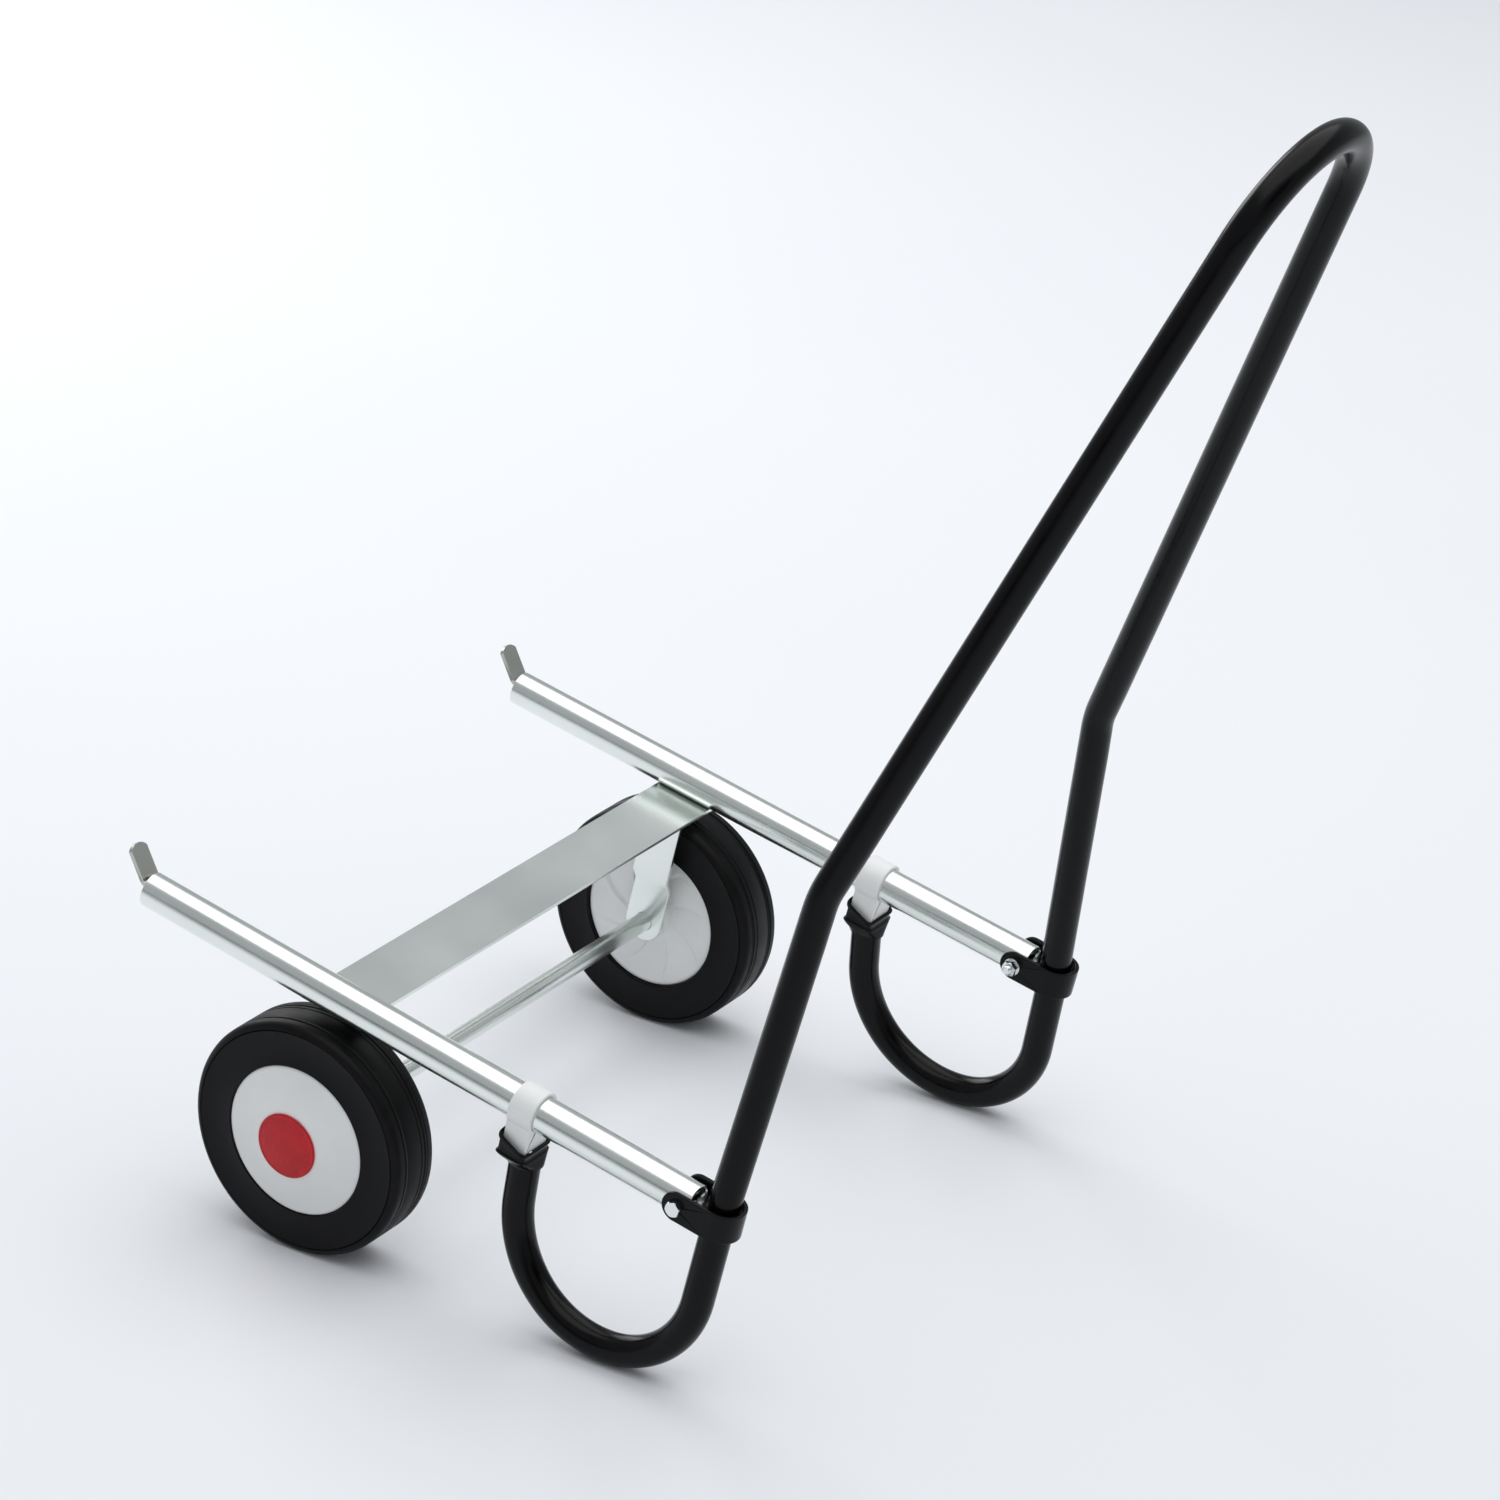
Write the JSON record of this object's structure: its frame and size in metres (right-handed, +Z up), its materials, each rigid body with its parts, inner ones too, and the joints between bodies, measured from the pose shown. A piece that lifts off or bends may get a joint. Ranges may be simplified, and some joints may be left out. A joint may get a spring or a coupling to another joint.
{
  "type": "two-wheeled folding trolley",
  "caption": "Two-wheeled garden trolley frame: a bent-tube handle with loop feet, and a rail platform with an axle and rubber wheels that folds up to the handle.",
  "frame": {"origin": "on the floor under the middle of the whole trolley (its bounding box), between the two rails", "axes": "+X forward, from the handle to the load tabs; +Y to the left rail and wheel; +Z up, with wheels and feet on the floor at z = 0"},
  "size_m": [0.7394, 0.495, 0.8589],
  "materials": {
    "black_enamel": "gloss",
    "zinc_plate": "polished",
    "bright_zinc": "polished",
    "dull_zinc": "satin",
    "tyre_rubber": "satin",
    "white_plastic": "satin",
    "red_plastic": "gloss"
  },
  "bodies": {
    "handle_frame": {"handle_tube": "black_enamel", "left_hinge_strap": "black_enamel", "right_hinge_strap": "black_enamel", "left_rail_seat": "black_enamel", "right_rail_seat": "black_enamel", "left_pivot_bolt": "bright_zinc", "right_pivot_bolt": "bright_zinc", "left_pivot_washer": "bright_zinc", "right_pivot_washer": "bright_zinc", "left_pivot_nut": "bright_zinc", "right_pivot_nut": "bright_zinc", "left_pivot_sleeve": "bright_zinc", "right_pivot_sleeve": "bright_zinc"},
    "platform": {"left_rail": "zinc_plate", "right_rail": "zinc_plate", "left_load_tab": "dull_zinc", "right_load_tab": "dull_zinc", "cross_plate": "zinc_plate", "left_axle_bracket": "zinc_plate", "right_axle_bracket": "zinc_plate", "left_rail_clip": "white_plastic", "right_rail_clip": "white_plastic", "axle": "zinc_plate", "left_axle_washer": "bright_zinc", "right_axle_washer": "bright_zinc", "left_axle_retainer": "bright_zinc", "right_axle_retainer": "bright_zinc"},
    "left_wheel": {"left_tyre": "tyre_rubber", "left_wheel_hub": "white_plastic", "left_hub_cap": "red_plastic"},
    "right_wheel": {"right_tyre": "tyre_rubber", "right_wheel_hub": "white_plastic", "right_hub_cap": "red_plastic"}
  },
  "joints": [
    {"name": "platform_fold", "type": "hinge", "parent": "handle_frame", "child": "platform", "pos_m": [-0.08496, 0, 0.13536], "axis": [0, -1, 0], "range_deg": [0, 88]},
    {"name": "left_wheel_spin", "type": "hinge", "parent": "platform", "child": "left_wheel", "pos_m": [0.21524, 0, 0.085], "axis": [0, 1, 0], "continuous": true},
    {"name": "right_wheel_spin", "type": "hinge", "parent": "platform", "child": "right_wheel", "pos_m": [0.21524, 0, 0.085], "axis": [0, 1, 0], "continuous": true}
  ]
}
